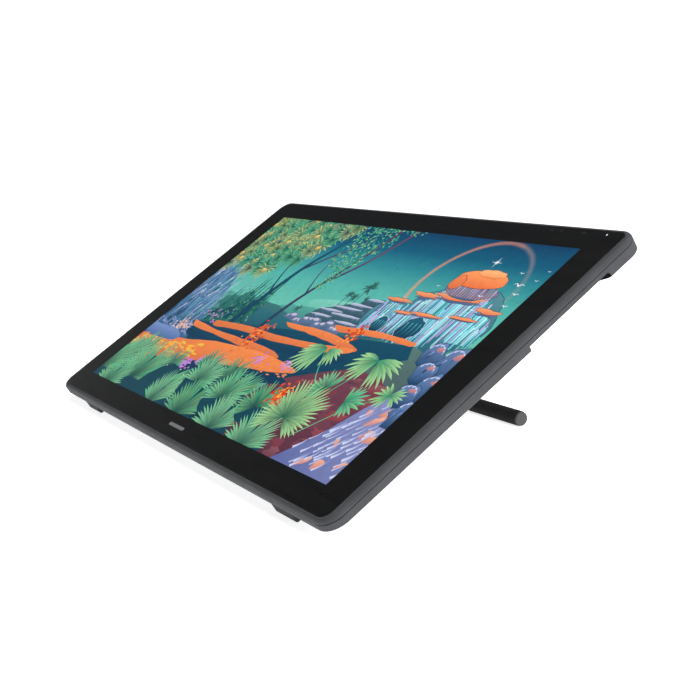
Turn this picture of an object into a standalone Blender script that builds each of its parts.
"""Pen drawing tablet on a folding T-shaped stand.

The tablet is modelled in its own frame: the middle of the glass is the origin, +X is to the right,
+Y runs up the slope and +Z comes out of the glass. An empty tilts that frame to the working angle.
The stand's leg has a second frame on its hinge: +Y along the leg, +Z towards the tablet.
At the end everything is set on the ground, with the world's origin under the middle. All in metres.
"""

import math

import bmesh
import bpy
from mathutils import Matrix, Vector

GAP = 0.0003                     # clearance between neighbouring pieces

# Working position
TILT = math.radians(32.0)        # glass above the horizontal
LEG_ANGLE = math.radians(48.4)   # leg below the plane of the glass

# Body outline
HALF_X = 0.27565
HALF_Y = 0.16155
CORNER = 0.016
CORNER_STEPS = 6
WALL = 0.002

# Heights below the face of the glass
PART_LINE = -0.0040              # front frame above it, rear cover below it
REAR_Z = -0.0214                 # flat of the back
SIDE_EDGE_Z = -0.0120            # lower edge of the side wall half way up the slope
SIDE_EDGE_SLOPE = -0.0095        # how fast that edge drops towards the top

# Glass and the seat it lies in
GLASS_HALF = (0.2689, 0.1574)
GLASS_CORNER = 0.009
GLASS_THICK = 0.0010
SEAT_Z = -0.0022
WINDOW_HALF = (0.2490, 0.1445)
RIM_LAND = 0.00025
TONGUE = 0.0012
TONGUE_Z = -0.0060

# Scoop for the plugs, in the right edge
SCOOP_Y = (0.034, 0.122)
SCOOP_X = 0.2477
SCOOP_LIP_Z = -0.0079
SCOOP_LIP_SLOPE = -0.0165
LINING = 0.0015
LINING_TOP = -0.0062

# Board with the sockets
BOARD_LOW = (0.130, 0.030, -0.0114)
BOARD_HIGH = (0.2470, 0.126, -0.0098)
SOCKET_MOUTH_X = 0.2493

# Case screws
SCREW_X = 0.257
SCREW_Y = (-0.120, 0.0, 0.140)
BOSS_END = -0.0133
COUNTERBORE_Z = -0.0152

# Keys on the top edge
KEY_PITCH = 0.0127
KEY_FIRST_X = 0.2493
KEY_Z = -0.0086
KEY_HALF = (0.0042, 0.0015)
KEY_PROUD = 0.0008

# Square hole patterns of the back
VESA = 0.050
STAND_HOLES = 0.0375

# Stand
PIVOT = (0.0, -0.030, -0.034)
LEG_LENGTH = 0.1775
LEG_HALF_X = 0.0240
LEG_HALF_THICK = 0.003
BARREL_R = 0.0085
PIN_R = 0.0040
DRUM_R = 0.0080
DRUM_HALF = 0.0078
SLOT_HALF = 0.0092
EAR_X = (0.0260, 0.0300)
BASE_THICK = 0.003
BASE_HALF = 0.044
BAR_R = 0.0052
BAR_HALF = 0.1040
SLEEVE_R = 0.0070
SLEEVE_X = (0.0310, 0.1048)
LEVER_PIVOT = (0.020, -0.0075)   # along the leg, and off its middle plane
LEVER_HALF = 0.0072

# Feet under the bottom edge
FOOT_X = 0.2015
FOOT_HALF = 0.0155
FOOT_Y = -0.1608
FOOT_Z = -0.0204
FOOT_ROUND = 0.002

# Looks: colour, roughness, metallic
GREY_SHELL = ((0.095, 0.098, 0.106), 0.48, 0.0)
BLACK_GLASS = ((0.012, 0.012, 0.013), 0.30, 0.0)
BLACK_PLASTIC = ((0.016, 0.016, 0.017), 0.55, 0.0)
BLACK_RUBBER = ((0.014, 0.014, 0.015), 0.80, 0.0)
CAP_GREY = ((0.115, 0.115, 0.115), 0.55, 0.0)
SCREEN_TEAL = ((0.020, 0.180, 0.200), 0.40, 0.0)
CLEAR_ACRYLIC = ((0.850, 0.880, 0.900), 0.10, 0.0)
WHITE_LENS = ((0.900, 0.920, 0.950), 0.30, 0.0)
GREEN_BOARD = ((0.010, 0.110, 0.050), 0.45, 0.0)
AMBER_FILM = ((0.500, 0.210, 0.040), 0.40, 0.0)
ALUMINIUM = ((0.620, 0.630, 0.650), 0.35, 1.0)
STEEL = ((0.420, 0.430, 0.450), 0.32, 1.0)
DARK_STEEL = ((0.060, 0.061, 0.065), 0.42, 0.6)
BRASS = ((0.700, 0.500, 0.200), 0.30, 1.0)


def clear_scene():
    for obj in list(bpy.data.objects):
        bpy.data.objects.remove(obj, do_unlink=True)


def new_collection(name):
    collection = bpy.data.collections.new(name)
    bpy.context.scene.collection.children.link(collection)
    return collection


def new_frame(name, location, angle, parent=None):
    """An empty that carries pieces: moved to location and turned about X."""
    empty = bpy.data.objects.new(name, None)
    empty.location = location
    empty.rotation_euler = (angle, 0.0, 0.0)
    empty.parent = parent
    PARTS.objects.link(empty)
    return empty


# Shapes. Each returns an object that hangs on its frame and isn't in a collection yet.

def object_from(frame, name, bm):
    bmesh.ops.recalc_face_normals(bm, faces=bm.faces)
    mesh = bpy.data.meshes.new(name)
    bm.to_mesh(mesh)
    bm.free()
    mesh.shade_smooth()
    mesh.set_sharp_from_angle(angle=math.radians(32))
    obj = bpy.data.objects.new(name, mesh)
    obj.parent = frame
    return obj


def box(frame, name, low, high):
    """A block between two corners."""
    low = Vector(low)
    high = Vector(high)
    bm = bmesh.new()
    place = Matrix.Translation((low + high) / 2) @ Matrix.Diagonal((high - low).to_4d())
    bmesh.ops.create_cube(bm, size=1.0, matrix=place)
    return object_from(frame, name, bm)


def rod(frame, name, radius, start, end, sides=24):
    """A plain cylinder between two points."""
    start = Vector(start)
    end = Vector(end)
    along = end - start
    turn = along.to_track_quat("Z", "Y").to_matrix().to_4x4()
    place = Matrix.Translation((start + end) / 2) @ turn
    bm = bmesh.new()
    bmesh.ops.create_cone(
        bm, cap_ends=True, segments=sides, radius1=radius, radius2=radius,
        depth=along.length, matrix=place,
    )
    return object_from(frame, name, bm)


def ring(half, corner, level, middle=(0.0, 0.0)):
    """Points round a rounded rectangle. level is its height, or a function that gives it from y."""
    points = []
    for quarter in range(4):
        side_x = 1 if quarter in (0, 3) else -1
        side_y = 1 if quarter < 2 else -1
        for step in range(CORNER_STEPS + 1):
            angle = (quarter + step / CORNER_STEPS) * math.pi / 2
            x = middle[0] + side_x * (half[0] - corner) + corner * math.cos(angle)
            y = middle[1] + side_y * (half[1] - corner) + corner * math.sin(angle)
            points.append((x, y, level(y) if callable(level) else level))
    return points


def loft(frame, name, rings, closed=False):
    """A skin through the rings: capped at both ends, or closed from the last ring to the first."""
    bm = bmesh.new()
    loops = [[bm.verts.new(point) for point in points] for points in rings]
    count = len(loops[0])
    spans = len(loops) if closed else len(loops) - 1
    for index in range(spans):
        below = loops[index]
        above = loops[(index + 1) % len(loops)]
        for side in range(count):
            after = (side + 1) % count
            bm.faces.new((below[side], below[after], above[after], above[side]))
    if not closed:
        bm.faces.new(loops[0])
        bm.faces.new(loops[-1])
    bmesh.ops.triangulate(bm, faces=bm.faces)
    return object_from(frame, name, bm)


def plate(frame, name, middle, half, corner, z_low, z_high):
    """A flat plate with rounded corners."""
    return loft(frame, name, [ring(half, corner, z_low, middle), ring(half, corner, z_high, middle)])


def turned(frame, name, profile, place, along_x=False, steps=24, loop=False):
    """A profile of (radius, height) down the outer side, turned about its own axis."""
    mesh = bpy.data.meshes.new(name)
    count = len(profile)
    edges = [(index, index + 1) for index in range(count - 1)]
    if loop:
        edges.append((count - 1, 0))
    mesh.from_pydata([(radius, 0.0, height) for radius, height in profile], edges, [])
    obj = bpy.data.objects.new(name, mesh)
    obj.parent = frame
    obj.location = place
    if along_x:
        obj.rotation_euler = (0.0, math.pi / 2, 0.0)
    screw = obj.modifiers.new("turn", "SCREW")
    screw.steps = steps
    screw.render_steps = steps
    screw.use_merge_vertices = True
    screw.merge_threshold = 0.00001
    screw.use_smooth_shade = True
    return obj


def tube_profile(inner, outer, low, high):
    return [(outer, high), (outer, low), (inner, low), (inner, high)]


def side_outline(frame, name, points, x_middle, thickness):
    """A flat outline of (y, z) points, given a thickness along X."""
    curve = bpy.data.curves.new(name, "CURVE")
    curve.dimensions = "2D"
    curve.fill_mode = "BOTH"
    curve.extrude = thickness / 2
    spline = curve.splines.new("POLY")
    spline.points.add(len(points) - 1)
    for point, (y, z) in zip(spline.points, points):
        point.co = (y, z, 0.0, 1.0)
    spline.use_cyclic_u = True
    flat = bpy.data.objects.new(name, curve)
    bpy.context.scene.collection.objects.link(flat)
    graph = bpy.context.evaluated_depsgraph_get()
    mesh = bpy.data.meshes.new_from_object(flat.evaluated_get(graph))
    bpy.data.objects.remove(flat, do_unlink=True)
    stand_up = Matrix(((0, 0, 1, x_middle), (1, 0, 0, 0), (0, 1, 0, 0), (0, 0, 0, 1)))
    bm = bmesh.new()
    bm.from_mesh(mesh)
    bmesh.ops.transform(bm, matrix=stand_up, verts=bm.verts)
    bmesh.ops.remove_doubles(bm, verts=bm.verts, dist=0.00001)
    return object_from(frame, name, bm)


def arc(centre, radius, start, end, steps):
    """Points on an arc, angles in degrees."""
    points = []
    for step in range(steps + 1):
        angle = math.radians(start + (end - start) * step / steps)
        points.append((centre[0] + radius * math.cos(angle), centre[1] + radius * math.sin(angle)))
    return points


def combine(obj, others, operation):
    for other in others:
        CUTTERS.objects.link(other)
        other.hide_render = True
        other.display_type = "WIRE"
        modifier = obj.modifiers.new(other.name, "BOOLEAN")
        modifier.operation = operation
        modifier.object = other
        modifier.solver = "EXACT"


def cut(obj, *others):
    combine(obj, others, "DIFFERENCE")


def join(obj, *others):
    combine(obj, others, "UNION")


def keep_inside(obj, other):
    combine(obj, [other], "INTERSECT")


def show(obj, look):
    """Put a piece in the object's collection, with a material of its own."""
    colour, roughness, metallic = look
    material = bpy.data.materials.new(obj.name + "_finish")
    material.use_nodes = True
    shader = material.node_tree.nodes["Principled BSDF"]
    shader.inputs["Base Color"].default_value = (*colour, 1.0)
    shader.inputs["Roughness"].default_value = roughness
    shader.inputs["Metallic"].default_value = metallic
    obj.data.materials.append(material)
    PARTS.objects.link(obj)
    return obj


def corners(distance):
    return [(x, y) for y in (-distance, distance) for x in (-distance, distance)]


def screw_places():
    return [(x, y) for y in SCREW_Y for x in (-SCREW_X, SCREW_X)]


def key_places():
    """X of the power key and of the four menu keys, with one pitch left free beside the power key."""
    return [KEY_FIRST_X - KEY_PITCH * step for step in (0, 2, 3, 4, 5)]


# Housing

def grown(half, amount):
    return (half[0] + amount, half[1] + amount)


def side_edge(y):
    """Height of the side wall's lower edge: the back is a wedge, thinner at the bottom."""
    return SIDE_EDGE_Z + SIDE_EDGE_SLOPE * y


def rear_shape(frame, name, inset, top):
    """The wedge-shaped outside of the rear cover, or its inside when it is inset by the wall."""
    lift = 0.67 * inset
    outline = grown((HALF_X, HALF_Y), -inset)
    rings = [
        ring(outline, CORNER - inset, top),
        ring(outline, CORNER - inset, lambda y: side_edge(y) + lift + 0.0012),
        ring(grown(outline, -0.0004), CORNER - inset, lambda y: side_edge(y) + lift + 0.0003),
        ring(grown(outline, -0.0015), CORNER - inset, lambda y: side_edge(y) + lift - 0.0004),
        ring(grown(outline, -0.0235), 0.010, REAR_Z + 0.0009 + 0.85 * inset),
        ring(grown(outline, -0.0285), 0.008, REAR_Z + inset),
    ]
    return loft(frame, name, rings)


def front_frame(frame):
    """The frame round the glass: a rounded rim, a seat for the glass and a tongue inside the cover."""
    seat = grown(GLASS_HALF, GAP)
    land = grown(seat, RIM_LAND)
    rings = [ring((HALF_X, HALF_Y), CORNER, PART_LINE)]
    steps = 5
    for step in range(steps + 1):
        angle = step / steps * math.pi / 2
        inward = 1.0 - math.cos(angle)
        half = (HALF_X - (HALF_X - land[0]) * inward, HALF_Y - (HALF_Y - land[1]) * inward)
        corner = CORNER - (CORNER - GLASS_CORNER) * inward
        rings.append(ring(half, corner, (PART_LINE + 0.0004) * (1.0 - math.sin(angle))))
    tongue_out = grown((HALF_X, HALF_Y), -WALL - GAP)
    tongue_in = grown(tongue_out, -TONGUE)
    rings += [
        ring(seat, GLASS_CORNER, 0.0),
        ring(seat, GLASS_CORNER, SEAT_Z),
        ring(WINDOW_HALF, 0.004, SEAT_Z),
        ring(WINDOW_HALF, 0.004, PART_LINE),
        ring(tongue_in, 0.0125, PART_LINE),
        ring(tongue_in, 0.0125, TONGUE_Z),
        ring(tongue_out, 0.0137, TONGUE_Z),
        ring(tongue_out, 0.0137, PART_LINE),
    ]
    body = loft(frame, "front_frame", rings, closed=True)
    for index, (x, y) in enumerate(screw_places()):
        join(body, rod(frame, f"frame_boss_{index}", 0.003, (x, y, BOSS_END), (x, y, -0.0033), 12))
        cut(body, rod(frame, f"frame_bore_{index}", 0.00145, (x, y, -0.020), (x, y, -0.0050), 12))
    cut(body, rod(frame, "light_hole", 0.0014, (0.2493, 0.1529, -0.010), (0.2493, 0.1529, 0.0), 12))
    show(body, GREY_SHELL)


def scoop_cutter(frame):
    """The notch for the plugs. Its top follows the lip, which drops slightly towards the top edge."""
    notch = box(frame, "scoop", (SCOOP_X, SCOOP_Y[0], -0.040), (0.300, SCOOP_Y[1], SCOOP_LIP_Z))
    for vertex in notch.data.vertices:
        if vertex.co.z > -0.020:
            vertex.co.z = SCOOP_LIP_Z + SCOOP_LIP_SLOPE * (vertex.co.y - 0.040)
    return notch


def rear_cover(frame):
    """The back shell, with screw posts, keyholes, vents, the plug scoop and the mounting holes."""
    cover = rear_shape(frame, "rear_cover", 0.0, PART_LINE - GAP)
    hollow = rear_shape(frame, "rear_cover_hollow", WALL, 0.0)
    for index, (x, y) in enumerate(screw_places()):
        post = rod(frame, f"post_{index}", 0.005, (x, y, -0.030), (x, y, BOSS_END - GAP), 16)
        cut(hollow, post)
    cut(cover, hollow)
    for index, (x, y) in enumerate(screw_places()):
        cut(cover, rod(frame, f"sink_{index}", 0.0033, (x, y, -0.030), (x, y, COUNTERBORE_Z), 16))
        cut(cover, rod(frame, f"way_{index}", 0.0016, (x, y, -0.020), (x, y, -0.0120), 12))
    cut(cover, scoop_cutter(frame))
    for index, (x, y) in enumerate(corners(VESA)):
        cut(cover, rod(frame, f"insert_hole_{index}", 0.0042, (x, y, -0.025), (x, y, -0.015), 16))
    for index, (x, y) in enumerate(corners(STAND_HOLES)):
        cut(cover, rod(frame, f"stand_hole_{index}", 0.0023, (x, y, -0.025), (x, y, -0.015), 12))
    half_x = KEY_HALF[0] + GAP
    half_z = KEY_HALF[1] + GAP
    for index, x in enumerate(key_places()):
        low = (x - half_x, 0.150, KEY_Z - half_z)
        high = (x + half_x, 0.170, KEY_Z + half_z)
        cut(cover, box(frame, f"keyhole_{index}", low, high))
    for side in (-1, 1):
        for index in range(7):
            x = side * (0.075 + 0.009 * index)
            low = (x - 0.0012, 0.088, -0.025)
            high = (x + 0.0012, 0.104, -0.015)
            cut(cover, box(frame, f"vent_{side}_{index}", low, high))
    show(cover, GREY_SHELL)


def sockets():
    """Name, middle and half sizes across the socket, in the order they sit along the scoop."""
    top = BOARD_LOW[2] - GAP
    return [
        ("usb_c_socket_1", 0.050, 0.0045, 0.0032, top),
        ("usb_c_socket_2", 0.066, 0.0045, 0.0032, top),
        ("hdmi_socket", 0.086, 0.0075, 0.0058, top),
        ("power_socket", 0.106, 0.0045, 0.0064, top),
    ]


def port_bezel(frame):
    """The dark lining of the scoop: a ceiling, an end wall with the socket openings and two cheeks."""
    y_low = SCOOP_Y[0] + GAP
    y_high = SCOOP_Y[1] - GAP
    x_low = SCOOP_X + GAP
    x_high = HALF_X - WALL - GAP
    lining = box(frame, "port_bezel", (x_low, y_low, -0.040), (x_high, y_high, LINING_TOP))
    keep_inside(lining, rear_shape(frame, "scoop_limit", 0.0004, 0.0))
    inner_low = (x_low + LINING, y_low + LINING, -0.050)
    inner_high = (0.300, y_high - LINING, LINING_TOP - LINING)
    cut(lining, box(frame, "scoop_room", inner_low, inner_high))
    for name, y, half, height, top in sockets():
        low = (0.240, y - half - GAP, top - height - GAP)
        high = (0.260, y + half + GAP, top + GAP)
        cut(lining, box(frame, name + "_opening", low, high))
    show(lining, BLACK_PLASTIC)


def screws(frame):
    """Six screws that hold the rear cover to the frame, heads at the back."""
    head_top = COUNTERBORE_Z - GAP
    profile = [
        (0.0, -0.0062),
        (0.00115, -0.0062),
        (0.00115, head_top),
        (0.0028, head_top),
        (0.0028, head_top - 0.0012),
        (0.0022, head_top - 0.0017),
        (0.0, head_top - 0.0017),
    ]
    for index, (x, y) in enumerate(screw_places()):
        show(turned(frame, f"case_screw_{index + 1}", profile, (x, y, 0.0), steps=12), DARK_STEEL)


def feet(frame):
    """Two wedge feet under the bottom edge and two flat pads near the top of the back."""
    corner = (FOOT_Y + FOOT_ROUND, FOOT_Z + FOOT_ROUND)
    outline = [(FOOT_Y, -0.0113), *arc(corner, FOOT_ROUND, 180, 270, 5), (-0.1392, FOOT_Z)]
    for name, side in (("foot_left", -1), ("foot_right", 1)):
        foot = side_outline(frame, name, outline, side * FOOT_X, 2 * FOOT_HALF)
        show(foot, BLACK_RUBBER)
    for name, side in (("rear_pad_left", -1), ("rear_pad_right", 1)):
        top = REAR_Z - GAP
        pad = plate(frame, name, (side * 0.190, 0.116), (0.020, 0.004), 0.0039, top - 0.0016, top)
        show(pad, BLACK_RUBBER)


# Screen stack, from the glass down

def screen_stack(frame):
    show(plate(frame, "cover_glass", (0, 0), GLASS_HALF, GLASS_CORNER, -GLASS_THICK, 0.0), BLACK_GLASS)
    gasket = [
        ring((0.2684, 0.1569), 0.008, -0.0013),
        ring((0.2684, 0.1569), 0.008, -0.0019),
        ring((0.2600, 0.1546), 0.005, -0.0019),
        ring((0.2600, 0.1546), 0.005, -0.0013),
    ]
    show(loft(frame, "glass_gasket", gasket, closed=True), BLACK_RUBBER)
    show(box(frame, "lcd_panel", (-0.2410, -0.1370, -0.0025), (0.2410, 0.1370, -0.0013)), SCREEN_TEAL)
    show(box(frame, "light_guide", (-0.2395, -0.1332, -0.0050), (0.2395, 0.1365, -0.0028)), CLEAR_ACRYLIC)
    show(box(frame, "led_light_bar", (-0.2380, -0.1365, -0.0050), (0.2380, -0.1335, -0.0028)), WHITE_LENS)
    tray = box(frame, "panel_chassis", (-0.2465, -0.1425, -0.0060), (0.2465, 0.1425, -0.0016))
    cut(tray, box(frame, "tray_room", (-0.2453, -0.1413, -0.0053), (0.2453, 0.1413, 0.010)))
    show(tray, ALUMINIUM)
    show(box(frame, "pen_sensor_board", (-0.2440, -0.1400, -0.0072), (0.2440, 0.1400, -0.0063)), GREEN_BOARD)
    show(box(frame, "sensor_shield", (-0.2450, -0.1410, -0.0080), (0.2450, 0.1410, -0.0075)), STEEL)
    light = rod(frame, "status_light_pipe", 0.0011, (0.2493, 0.1529, -0.0058), (0.2493, 0.1529, -0.0013), 12)
    show(light, WHITE_LENS)


# Electronics behind the screen

def main_board(frame):
    board = box(frame, "main_board", BOARD_LOW, BOARD_HIGH)
    chips = [
        ((0.160, 0.060), (0.011, 0.011), 0.0018),
        ((0.196, 0.092), (0.008, 0.006), 0.0014),
        ((0.198, 0.054), (0.006, 0.006), 0.0026),
        ((0.150, 0.104), (0.010, 0.004), 0.0034),
    ]
    for index, ((x, y), (half_x, half_y), height) in enumerate(chips):
        low = (x - half_x, y - half_y, BOARD_LOW[2] - height)
        high = (x + half_x, y + half_y, BOARD_LOW[2] + 0.0005)
        join(board, box(frame, f"chip_{index}", low, high))
    show(board, GREEN_BOARD)
    bend = [(0.060, -0.0083), (0.110, -0.0083), (0.118, -0.0104), (0.1295, -0.0104)]
    film = bend + [(x, z - 0.0003) for x, z in reversed(bend)]
    ribbon = side_outline(frame, "display_ribbon", film, 0.0, 0.030)
    ribbon.data.transform(Matrix(((0, 1, 0, 0), (-1, 0, 0, 0.075), (0, 0, 1, 0), (0, 0, 0, 1))))
    show(ribbon, AMBER_FILM)


def socket_shells(frame):
    """The sockets under the board's edge, each a metal shell with a tongue inside."""
    for name, y, half, height, top in sockets():
        middle = top - height / 2
        low = (SOCKET_MOUTH_X - 0.010, y - half, top - height)
        high = (SOCKET_MOUTH_X, y + half, top)
        shell = box(frame, name, low, high)
        inside = box(
            frame, name + "_mouth",
            (SOCKET_MOUTH_X - 0.008, y - half + 0.0004, top - height + 0.0004),
            (SOCKET_MOUTH_X + 0.005, y + half - 0.0004, top - 0.0004),
        )
        tongue = box(
            frame, name + "_tongue",
            (SOCKET_MOUTH_X - 0.009, y - 0.7 * half, middle - 0.0004),
            (SOCKET_MOUTH_X - 0.001, y + 0.7 * half, middle + 0.0004),
        )
        cut(shell, inside)
        join(shell, tongue)
        show(shell, STEEL)


def button_board(frame):
    board = box(frame, "button_board", (0.181, 0.1470, -0.0120), (0.2548, 0.1482, -0.0062))
    for index, x in enumerate(key_places()):
        low = (x - 0.003, 0.1480, KEY_Z - 0.0020)
        high = (x + 0.003, 0.1545, KEY_Z + 0.0020)
        join(board, box(frame, f"switch_{index}", low, high))
        tip_low = (x - 0.001, 0.1540, KEY_Z - 0.0010)
        tip_high = (x + 0.001, 0.1564, KEY_Z + 0.0010)
        join(board, box(frame, f"switch_tip_{index}", tip_low, tip_high))
    show(board, GREEN_BOARD)


def keys(frame):
    """Keys that slide through the top wall, each held in by a flange behind it."""
    names = ["power_button", "menu_key_1", "menu_key_2", "menu_key_3", "menu_key_4"]
    for name, x in zip(names, key_places()):
        half_x, half_z = KEY_HALF
        cap = box(frame, name, (-half_x, -0.0045, -half_z), (half_x, 0.0, half_z))
        flange_low = (-half_x - 0.0008, -0.0046, -half_z - 0.0006)
        flange_high = (half_x + 0.0008, -0.0035, half_z + 0.0006)
        flange = box(frame, name + "_flange", flange_low, flange_high)
        for piece in (cap, flange):
            piece.location = (x, HALF_Y + KEY_PROUD, KEY_Z)
        join(cap, flange)
        show(cap, BLACK_PLASTIC)


def mounting_inserts(frame):
    """A backing plate inside the back and four threaded inserts for an arm or a wall plate."""
    inner = REAR_Z + WALL + GAP
    back = plate(frame, "vesa_backing_plate", (0, 0), (0.058, 0.058), 0.006, inner, inner + 0.0016)
    for index, (x, y) in enumerate(corners(VESA)):
        cut(back, rod(frame, f"plate_hole_{index}", 0.0042, (x, y, -0.025), (x, y, -0.010), 16))
    for index, (x, y) in enumerate(corners(STAND_HOLES)):
        cut(back, rod(frame, f"plate_way_{index}", 0.0023, (x, y, -0.025), (x, y, -0.010), 12))
    show(back, STEEL)
    low = REAR_Z + 0.0002
    profile = [
        (0.0, -0.0130),
        (0.0039, -0.0130),
        (0.0039, low),
        (0.0017, low),
        (0.0017, -0.0140),
        (0.0, -0.0140),
    ]
    for index, (x, y) in enumerate(corners(VESA)):
        show(turned(frame, f"vesa_insert_{index + 1}", profile, (x, y, 0.0), steps=16), BRASS)


# Stand, fixed half

def stand_base(frame):
    """The plate screwed to the back, with two ears that hold the hinge pin."""
    top = REAR_Z - GAP
    low = top - BASE_THICK
    base = plate(frame, "stand_base_plate", (0, 0), (BASE_HALF, BASE_HALF), 0.006, low, top)
    y, z = PIVOT[1:]
    ear = [(y + BARREL_R, low + 0.001), (y - BARREL_R, low + 0.001), *arc((y, z), BARREL_R, 180, 360, 12)]
    for side in (-1, 1):
        middle = side * (EAR_X[0] + EAR_X[1]) / 2
        join(base, side_outline(frame, f"ear_{side}", ear, middle, EAR_X[1] - EAR_X[0]))
    pin_hole = rod(frame, "base_pin_hole", PIN_R + GAP, (-0.05, y, z), (0.05, y, z))
    drum_room = box(frame, "drum_room", (-0.0105, -0.050, -0.030), (0.0105, -0.014, -0.015))
    cut(base, pin_hole, drum_room)
    for index, (x, hole_y) in enumerate(corners(STAND_HOLES)):
        cut(base, rod(frame, f"base_hole_{index}", 0.0022, (x, hole_y, -0.030), (x, hole_y, -0.015), 12))
    show(base, DARK_STEEL)
    head = low - GAP
    profile = [
        (0.0, -0.0165),
        (0.0019, -0.0165),
        (0.0019, head),
        (0.0036, head),
        (0.0036, head - 0.0014),
        (0.0028, head - 0.0022),
        (0.0, head - 0.0022),
    ]
    for index, (x, screw_y) in enumerate(corners(STAND_HOLES)):
        show(turned(frame, f"stand_screw_{index + 1}", profile, (x, screw_y, 0.0), steps=16), STEEL)


def hinge_hardware(frame):
    """The pin with its nut, a friction washer on each side and the drum that the lever grips."""
    head = EAR_X[1] + GAP
    tip = -head - 0.0055
    pin = [
        (0.0, head + 0.002),
        (0.0056, head + 0.002),
        (0.0062, head + 0.0014),
        (0.0062, head),
        (PIN_R, head),
        (PIN_R, tip),
        (0.0, tip),
    ]
    show(turned(frame, "hinge_pin", pin, PIVOT, along_x=True), STEEL)
    y, z = PIVOT[1:]
    nut = rod(frame, "hinge_nut", 0.0066, (-head - 0.0042, y, z), (-head, y, z), 6)
    cut(nut, rod(frame, "nut_bore", PIN_R + GAP, (-0.05, y, z), (-0.02, y, z)))
    show(nut, STEEL)
    for name, side in (("hinge_washer_left", -1), ("hinge_washer_right", 1)):
        inner = side * (LEG_HALF_X + GAP)
        outer = side * (EAR_X[0] - GAP)
        profile = tube_profile(PIN_R + GAP, BARREL_R, min(inner, outer), max(inner, outer))
        show(turned(frame, name, profile, PIVOT, along_x=True, loop=True), BRASS)
    drum = tube_profile(PIN_R + GAP, DRUM_R, -DRUM_HALF, DRUM_HALF)
    show(turned(frame, "brake_drum", drum, PIVOT, along_x=True, loop=True), STEEL)


# Stand, moving half, in the leg's frame

def stand_leg(leg):
    """The leg: two hinge barrels, a plate with a pressed panel, lever lugs and a boss for the bar."""
    low = (-LEG_HALF_X, 0.005, -LEG_HALF_THICK)
    high = (LEG_HALF_X, LEG_LENGTH, LEG_HALF_THICK)
    body = box(leg, "stand_leg", low, high)
    barrel = rod(leg, "barrel", BARREL_R, (-LEG_HALF_X, 0, 0), (LEG_HALF_X, 0, 0))
    boss_start = (-LEG_HALF_X, LEG_LENGTH, 0)
    boss_end = (LEG_HALF_X, LEG_LENGTH, 0)
    join(body, barrel, rod(leg, "boss", BAR_R + GAP + 0.0012, boss_start, boss_end))
    y, z = LEVER_PIVOT
    lug = [(y + 0.005, -0.002), (y - 0.005, -0.002), *arc((y, z), 0.0032, 180, 360, 8)]
    for side in (-1, 1):
        middle = side * (LEVER_HALF + GAP + 0.0012)
        join(body, side_outline(leg, f"lug_{side}", lug, middle, 0.0024))
    cut(
        body,
        rod(leg, "leg_pin_bore", PIN_R + GAP, (-0.05, 0, 0), (0.05, 0, 0)),
        rod(leg, "bar_bore", BAR_R + GAP, (-0.05, LEG_LENGTH, 0), (0.05, LEG_LENGTH, 0)),
        rod(leg, "lever_pin_bore", 0.0019, (-0.02, y, z), (0.02, y, z), 12),
        box(leg, "drum_slot", (-SLOT_HALF, -0.012, -0.012), (SLOT_HALF, 0.0125, 0.012)),
        box(leg, "pressed_panel", (-0.0185, 0.034, 0.0018), (0.0185, 0.158, 0.010)),
    )
    show(body, DARK_STEEL)


def crossbar(leg):
    """The bar across the foot of the leg, with a rubber sleeve and an end cap at each end."""
    place = (0.0, LEG_LENGTH, 0.0)
    bar = tube_profile(0.0040, BAR_R, -BAR_HALF, BAR_HALF)
    show(turned(leg, "crossbar_tube", bar, place, along_x=True, loop=True), STEEL)
    inner, outer = SLEEVE_X
    sleeve = [
        (SLEEVE_R - 0.0006, outer),
        (SLEEVE_R, outer - 0.0006),
        (SLEEVE_R, inner + 0.0006),
        (SLEEVE_R - 0.0006, inner),
        (BAR_R + GAP, inner),
        (BAR_R + GAP, outer),
    ]
    cap_face = outer + GAP
    cap = [
        (0.0, cap_face + 0.0022),
        (0.0060, cap_face + 0.0022),
        (0.0064, cap_face + 0.0018),
        (0.0064, cap_face),
        (0.0037, cap_face),
        (0.0037, 0.0950),
        (0.0, 0.0950),
    ]
    for name, side in (("left", -1), ("right", 1)):
        rubber = turned(leg, "rubber_sleeve_" + name, sleeve, place, along_x=True, loop=True)
        end = turned(leg, "end_cap_" + name, cap, place, along_x=True)
        for piece in (rubber, end):
            piece.rotation_euler = (0.0, side * math.pi / 2, 0.0)
        show(rubber, BLACK_RUBBER)
        show(end, CAP_GREY)


def lever_spring(leg):
    """A small coil between the leg and the lever's paddle."""
    turns = 4
    points_per_turn = 10
    radius = 0.0026
    top = -0.0038
    bottom = -0.0103
    curve = bpy.data.curves.new("lever_spring", "CURVE")
    curve.dimensions = "3D"
    curve.bevel_depth = 0.00035
    curve.bevel_resolution = 1
    curve.use_fill_caps = True
    spline = curve.splines.new("POLY")
    count = turns * points_per_turn
    spline.points.add(count)
    for step, point in enumerate(spline.points):
        angle = 2 * math.pi * step / points_per_turn
        height = top + (bottom - top) * step / count
        point.co = (radius * math.cos(angle), 0.042 + radius * math.sin(angle), height, 1.0)
    coil = bpy.data.objects.new("lever_spring", curve)
    coil.parent = leg
    show(coil, STEEL)


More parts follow.
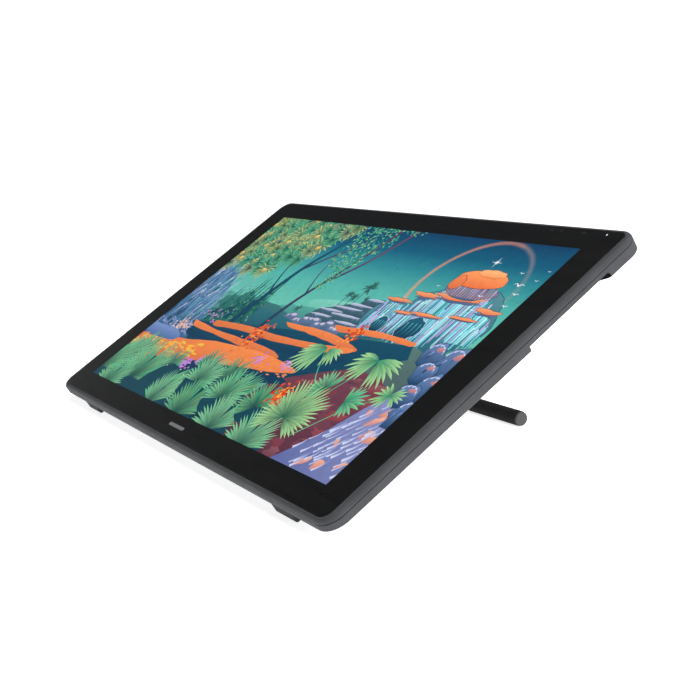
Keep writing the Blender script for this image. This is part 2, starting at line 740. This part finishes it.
def release_lever(leg):
    """The lever that grips the drum: a shoe against the drum, a hub on the pin and a long paddle."""
    y, z = LEVER_PIVOT
    axis = new_frame("lever_axis", (0.0, y, z), 0.0, leg)
    shoe = arc((0.0, 0.0), DRUM_R + GAP, 282, 258, 4)
    arm = [(-0.0034, -0.0102), (0.0060, -0.0110), (0.0170, -0.0112), (0.0300, -0.0118)]
    paddle = [(0.0580, -0.0160), (0.0620, -0.0156), (0.0620, -0.0142), (0.0570, -0.0140)]
    hub = [(0.0300, -0.0096), (0.0235, -0.0060), (0.0220, -0.0046), (0.0180, -0.0046), (0.0165, -0.0065)]
    outline = [(py - y, pz - z) for py, pz in shoe + arm + paddle + hub + [(0.0080, -0.0080)]]
    lever = side_outline(axis, "release_lever", outline, 0.0, 2 * LEVER_HALF)
    cut(lever, rod(axis, "lever_bore", 0.0019, (-0.02, 0, 0), (0.02, 0, 0), 12))
    show(lever, DARK_STEEL)
    show(rod(leg, "lever_pin", 0.0016, (-0.0112, y, z), (0.0112, y, z), 12), STEEL)


def world_corners():
    """Lowest and highest corner of all the pieces, in the world."""
    bpy.context.view_layer.update()
    graph = bpy.context.evaluated_depsgraph_get()
    points = []
    for obj in PARTS.objects:
        if obj.type == "EMPTY":
            continue
        evaluated = obj.evaluated_get(graph)
        mesh = evaluated.to_mesh()
        points += [evaluated.matrix_world @ vertex.co for vertex in mesh.vertices]
        evaluated.to_mesh_clear()
    low = Vector([min(point[axis] for point in points) for axis in range(3)])
    high = Vector([max(point[axis] for point in points) for axis in range(3)])
    return low, high


def set_on_ground(root):
    """Move the whole object so that it stands on z = 0 with its middle over the origin."""
    low, high = world_corners()
    root.location.y -= (low.y + high.y) / 2
    root.location.z -= low.z


clear_scene()
PARTS = new_collection("pen_drawing_tablet")
CUTTERS = new_collection("cutters")


def main():
    tablet = new_frame("tablet_tilt", (0.0, 0.0, 0.0), TILT)
    front_frame(tablet)
    rear_cover(tablet)
    port_bezel(tablet)
    screws(tablet)
    feet(tablet)
    screen_stack(tablet)
    main_board(tablet)
    socket_shells(tablet)
    button_board(tablet)
    keys(tablet)
    mounting_inserts(tablet)
    stand_base(tablet)
    hinge_hardware(tablet)
    leg = new_frame("leg_axis", PIVOT, -LEG_ANGLE, tablet)
    stand_leg(leg)
    crossbar(leg)
    lever_spring(leg)
    release_lever(leg)
    set_on_ground(tablet)


main()
